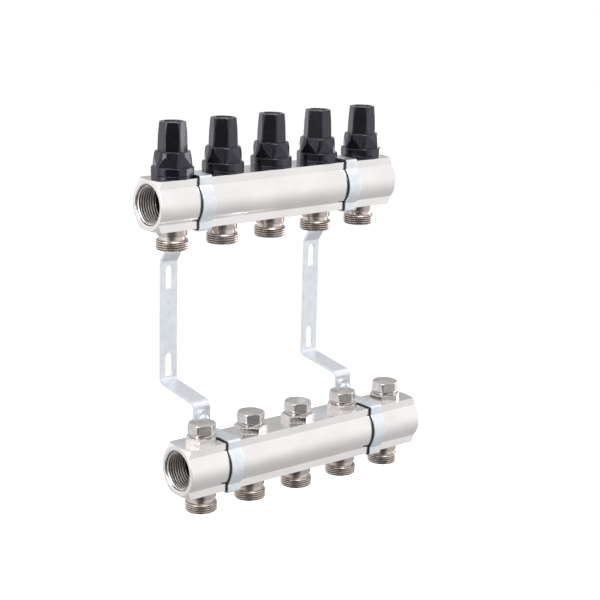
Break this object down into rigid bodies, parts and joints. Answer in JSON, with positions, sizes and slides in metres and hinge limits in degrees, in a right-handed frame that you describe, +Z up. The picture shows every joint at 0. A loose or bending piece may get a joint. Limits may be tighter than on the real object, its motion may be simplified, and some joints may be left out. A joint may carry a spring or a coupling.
{
  "type": "heating manifold",
  "caption": "Heating manifold: a return bar with hand-capped valves above a supply bar with lockshield valves, both clipped to stepped wall brackets.",
  "frame": {"origin": "on the wall plane, midway between the two slots of the left bracket", "axes": "+X along the bars to the right, +Y into the wall, so the front faces -Y, +Z up"},
  "size_m": [0.248, 0.1015, 0.3132],
  "materials": {
    "nickel_plated_brass": "extruded or turned brass, nickel plated, bright",
    "outlet_brass": "turned and thread-cut brass, thin nickel plating",
    "zinc_plated_steel": "punched and bent strip, blue zinc plating",
    "fastener_steel": "cold-headed steel, zinc plated",
    "bare_brass": "turned brass",
    "spring_steel": "stainless spring wire",
    "black_plastic": "injection-moulded, glossy black",
    "black_rubber": "moulded EPDM"
  },
  "bodies": {
    "manifold": {"return_bar": "nickel_plated_brass", "supply_bar": "nickel_plated_brass", "left_bracket": "zinc_plated_steel", "right_bracket": "zinc_plated_steel", "left_return_strap": "zinc_plated_steel", "left_supply_strap": "zinc_plated_steel", "right_return_strap": "zinc_plated_steel", "right_supply_strap": "zinc_plated_steel", "clamp_liners": "black_rubber", "clamp_screws": "fastener_steel", "clamp_nuts": "fastener_steel", "return_outlets": "outlet_brass", "supply_outlets": "outlet_brass", "port_seals": "black_rubber", "insert_glands": "bare_brass", "valve_insert_1": "bare_brass", "valve_insert_2": "bare_brass", "valve_insert_3": "bare_brass", "valve_insert_4": "bare_brass", "valve_insert_5": "bare_brass", "valve_spring_1": "spring_steel", "valve_spring_2": "spring_steel", "valve_spring_3": "spring_steel", "valve_spring_4": "spring_steel", "valve_spring_5": "spring_steel", "lockshield_body_1": "nickel_plated_brass", "lockshield_body_2": "nickel_plated_brass", "lockshield_body_3": "nickel_plated_brass", "lockshield_body_4": "nickel_plated_brass", "lockshield_body_5": "nickel_plated_brass"},
    "pin_1": {"valve_pin_1": "bare_brass"},
    "cap_1": {"hand_cap_1": "black_plastic"},
    "pin_2": {"valve_pin_2": "bare_brass"},
    "cap_2": {"hand_cap_2": "black_plastic"},
    "pin_3": {"valve_pin_3": "bare_brass"},
    "cap_3": {"hand_cap_3": "black_plastic"},
    "pin_4": {"valve_pin_4": "bare_brass"},
    "cap_4": {"hand_cap_4": "black_plastic"},
    "pin_5": {"valve_pin_5": "bare_brass"},
    "cap_5": {"hand_cap_5": "black_plastic"},
    "ring_1": {"spindle_ring_1": "black_rubber"},
    "spindle_1": {"regulating_spindle_1": "bare_brass"},
    "gasket_1": {"cap_gasket_1": "black_rubber"},
    "blind_1": {"blind_cap_1": "nickel_plated_brass"},
    "ring_2": {"spindle_ring_2": "black_rubber"},
    "spindle_2": {"regulating_spindle_2": "bare_brass"},
    "gasket_2": {"cap_gasket_2": "black_rubber"},
    "blind_2": {"blind_cap_2": "nickel_plated_brass"},
    "ring_3": {"spindle_ring_3": "black_rubber"},
    "spindle_3": {"regulating_spindle_3": "bare_brass"},
    "gasket_3": {"cap_gasket_3": "black_rubber"},
    "blind_3": {"blind_cap_3": "nickel_plated_brass"},
    "ring_4": {"spindle_ring_4": "black_rubber"},
    "spindle_4": {"regulating_spindle_4": "bare_brass"},
    "gasket_4": {"cap_gasket_4": "black_rubber"},
    "blind_4": {"blind_cap_4": "nickel_plated_brass"},
    "ring_5": {"spindle_ring_5": "black_rubber"},
    "spindle_5": {"regulating_spindle_5": "bare_brass"},
    "gasket_5": {"cap_gasket_5": "black_rubber"},
    "blind_5": {"blind_cap_5": "nickel_plated_brass"}
  },
  "joints": [
    {"name": "valve_pin_1_lift", "type": "slide", "parent": "manifold", "child": "pin_1", "axis": [0, 0, 1], "range_m": [0, 0.003], "deforming": ["valve_spring_1"]},
    {"name": "hand_cap_1_turn", "type": "hinge", "parent": "pin_1", "child": "cap_1", "pos_m": [-0.0205, -0.0355, 0.1295], "axis": [0, 0, 1], "range_deg": [0, 720]},
    {"name": "valve_pin_2_lift", "type": "slide", "parent": "manifold", "child": "pin_2", "axis": [0, 0, 1], "range_m": [0, 0.003], "deforming": ["valve_spring_2"]},
    {"name": "hand_cap_2_turn", "type": "hinge", "parent": "pin_2", "child": "cap_2", "pos_m": [0.0295, -0.0355, 0.1295], "axis": [0, 0, 1], "range_deg": [0, 720]},
    {"name": "valve_pin_3_lift", "type": "slide", "parent": "manifold", "child": "pin_3", "axis": [0, 0, 1], "range_m": [0, 0.003], "deforming": ["valve_spring_3"]},
    {"name": "hand_cap_3_turn", "type": "hinge", "parent": "pin_3", "child": "cap_3", "pos_m": [0.0795, -0.0355, 0.1295], "axis": [0, 0, 1], "range_deg": [0, 720]},
    {"name": "valve_pin_4_lift", "type": "slide", "parent": "manifold", "child": "pin_4", "axis": [0, 0, 1], "range_m": [0, 0.003], "deforming": ["valve_spring_4"]},
    {"name": "hand_cap_4_turn", "type": "hinge", "parent": "pin_4", "child": "cap_4", "pos_m": [0.1295, -0.0355, 0.1295], "axis": [0, 0, 1], "range_deg": [0, 720]},
    {"name": "valve_pin_5_lift", "type": "slide", "parent": "manifold", "child": "pin_5", "axis": [0, 0, 1], "range_m": [0, 0.003], "deforming": ["valve_spring_5"]},
    {"name": "hand_cap_5_turn", "type": "hinge", "parent": "pin_5", "child": "cap_5", "pos_m": [0.1795, -0.0355, 0.1295], "axis": [0, 0, 1], "range_deg": [0, 720]},
    {"name": "spindle_ring_1_lift", "type": "slide", "parent": "manifold", "child": "ring_1", "axis": [0, 0, 1], "range_m": [0, 0.004]},
    {"name": "regulating_spindle_1_turn", "type": "hinge", "parent": "ring_1", "child": "spindle_1", "pos_m": [-0.0205, -0.0785, -0.0805], "axis": [0, 0, 1], "range_deg": [0, 1440]},
    {"name": "cap_gasket_1_lift", "type": "slide", "parent": "manifold", "child": "gasket_1", "axis": [0, 0, 1], "range_m": [0, 0.0045]},
    {"name": "blind_cap_1_turn", "type": "hinge", "parent": "gasket_1", "child": "blind_1", "pos_m": [-0.0205, -0.0785, -0.0805], "axis": [0, 0, 1], "range_deg": [0, 1080]},
    {"name": "spindle_ring_2_lift", "type": "slide", "parent": "manifold", "child": "ring_2", "axis": [0, 0, 1], "range_m": [0, 0.004]},
    {"name": "regulating_spindle_2_turn", "type": "hinge", "parent": "ring_2", "child": "spindle_2", "pos_m": [0.0295, -0.0785, -0.0805], "axis": [0, 0, 1], "range_deg": [0, 1440]},
    {"name": "cap_gasket_2_lift", "type": "slide", "parent": "manifold", "child": "gasket_2", "axis": [0, 0, 1], "range_m": [0, 0.0045]},
    {"name": "blind_cap_2_turn", "type": "hinge", "parent": "gasket_2", "child": "blind_2", "pos_m": [0.0295, -0.0785, -0.0805], "axis": [0, 0, 1], "range_deg": [0, 1080]},
    {"name": "spindle_ring_3_lift", "type": "slide", "parent": "manifold", "child": "ring_3", "axis": [0, 0, 1], "range_m": [0, 0.004]},
    {"name": "regulating_spindle_3_turn", "type": "hinge", "parent": "ring_3", "child": "spindle_3", "pos_m": [0.0795, -0.0785, -0.0805], "axis": [0, 0, 1], "range_deg": [0, 1440]},
    {"name": "cap_gasket_3_lift", "type": "slide", "parent": "manifold", "child": "gasket_3", "axis": [0, 0, 1], "range_m": [0, 0.0045]},
    {"name": "blind_cap_3_turn", "type": "hinge", "parent": "gasket_3", "child": "blind_3", "pos_m": [0.0795, -0.0785, -0.0805], "axis": [0, 0, 1], "range_deg": [0, 1080]},
    {"name": "spindle_ring_4_lift", "type": "slide", "parent": "manifold", "child": "ring_4", "axis": [0, 0, 1], "range_m": [0, 0.004]},
    {"name": "regulating_spindle_4_turn", "type": "hinge", "parent": "ring_4", "child": "spindle_4", "pos_m": [0.1295, -0.0785, -0.0805], "axis": [0, 0, 1], "range_deg": [0, 1440]},
    {"name": "cap_gasket_4_lift", "type": "slide", "parent": "manifold", "child": "gasket_4", "axis": [0, 0, 1], "range_m": [0, 0.0045]},
    {"name": "blind_cap_4_turn", "type": "hinge", "parent": "gasket_4", "child": "blind_4", "pos_m": [0.1295, -0.0785, -0.0805], "axis": [0, 0, 1], "range_deg": [0, 1080]},
    {"name": "spindle_ring_5_lift", "type": "slide", "parent": "manifold", "child": "ring_5", "axis": [0, 0, 1], "range_m": [0, 0.004]},
    {"name": "regulating_spindle_5_turn", "type": "hinge", "parent": "ring_5", "child": "spindle_5", "pos_m": [0.1795, -0.0785, -0.0805], "axis": [0, 0, 1], "range_deg": [0, 1440]},
    {"name": "cap_gasket_5_lift", "type": "slide", "parent": "manifold", "child": "gasket_5", "axis": [0, 0, 1], "range_m": [0, 0.0045]},
    {"name": "blind_cap_5_turn", "type": "hinge", "parent": "gasket_5", "child": "blind_5", "pos_m": [0.1795, -0.0785, -0.0805], "axis": [0, 0, 1], "range_deg": [0, 1080]}
  ],
  "couplings": [
    {"joint": "valve_pin_1_lift", "follows": "hand_cap_1_turn", "m_per_rad": 0.00023873},
    {"joint": "valve_pin_2_lift", "follows": "hand_cap_2_turn", "m_per_rad": 0.00023873},
    {"joint": "valve_pin_3_lift", "follows": "hand_cap_3_turn", "m_per_rad": 0.00023873},
    {"joint": "valve_pin_4_lift", "follows": "hand_cap_4_turn", "m_per_rad": 0.00023873},
    {"joint": "valve_pin_5_lift", "follows": "hand_cap_5_turn", "m_per_rad": 0.00023873},
    {"joint": "spindle_ring_1_lift", "follows": "regulating_spindle_1_turn", "m_per_rad": 0.00015915},
    {"joint": "cap_gasket_1_lift", "follows": "blind_cap_1_turn", "m_per_rad": 0.00023873},
    {"joint": "spindle_ring_2_lift", "follows": "regulating_spindle_2_turn", "m_per_rad": 0.00015915},
    {"joint": "cap_gasket_2_lift", "follows": "blind_cap_2_turn", "m_per_rad": 0.00023873},
    {"joint": "spindle_ring_3_lift", "follows": "regulating_spindle_3_turn", "m_per_rad": 0.00015915},
    {"joint": "cap_gasket_3_lift", "follows": "blind_cap_3_turn", "m_per_rad": 0.00023873},
    {"joint": "spindle_ring_4_lift", "follows": "regulating_spindle_4_turn", "m_per_rad": 0.00015915},
    {"joint": "cap_gasket_4_lift", "follows": "blind_cap_4_turn", "m_per_rad": 0.00023873},
    {"joint": "spindle_ring_5_lift", "follows": "regulating_spindle_5_turn", "m_per_rad": 0.00015915},
    {"joint": "cap_gasket_5_lift", "follows": "blind_cap_5_turn", "m_per_rad": 0.00023873}
  ]
}
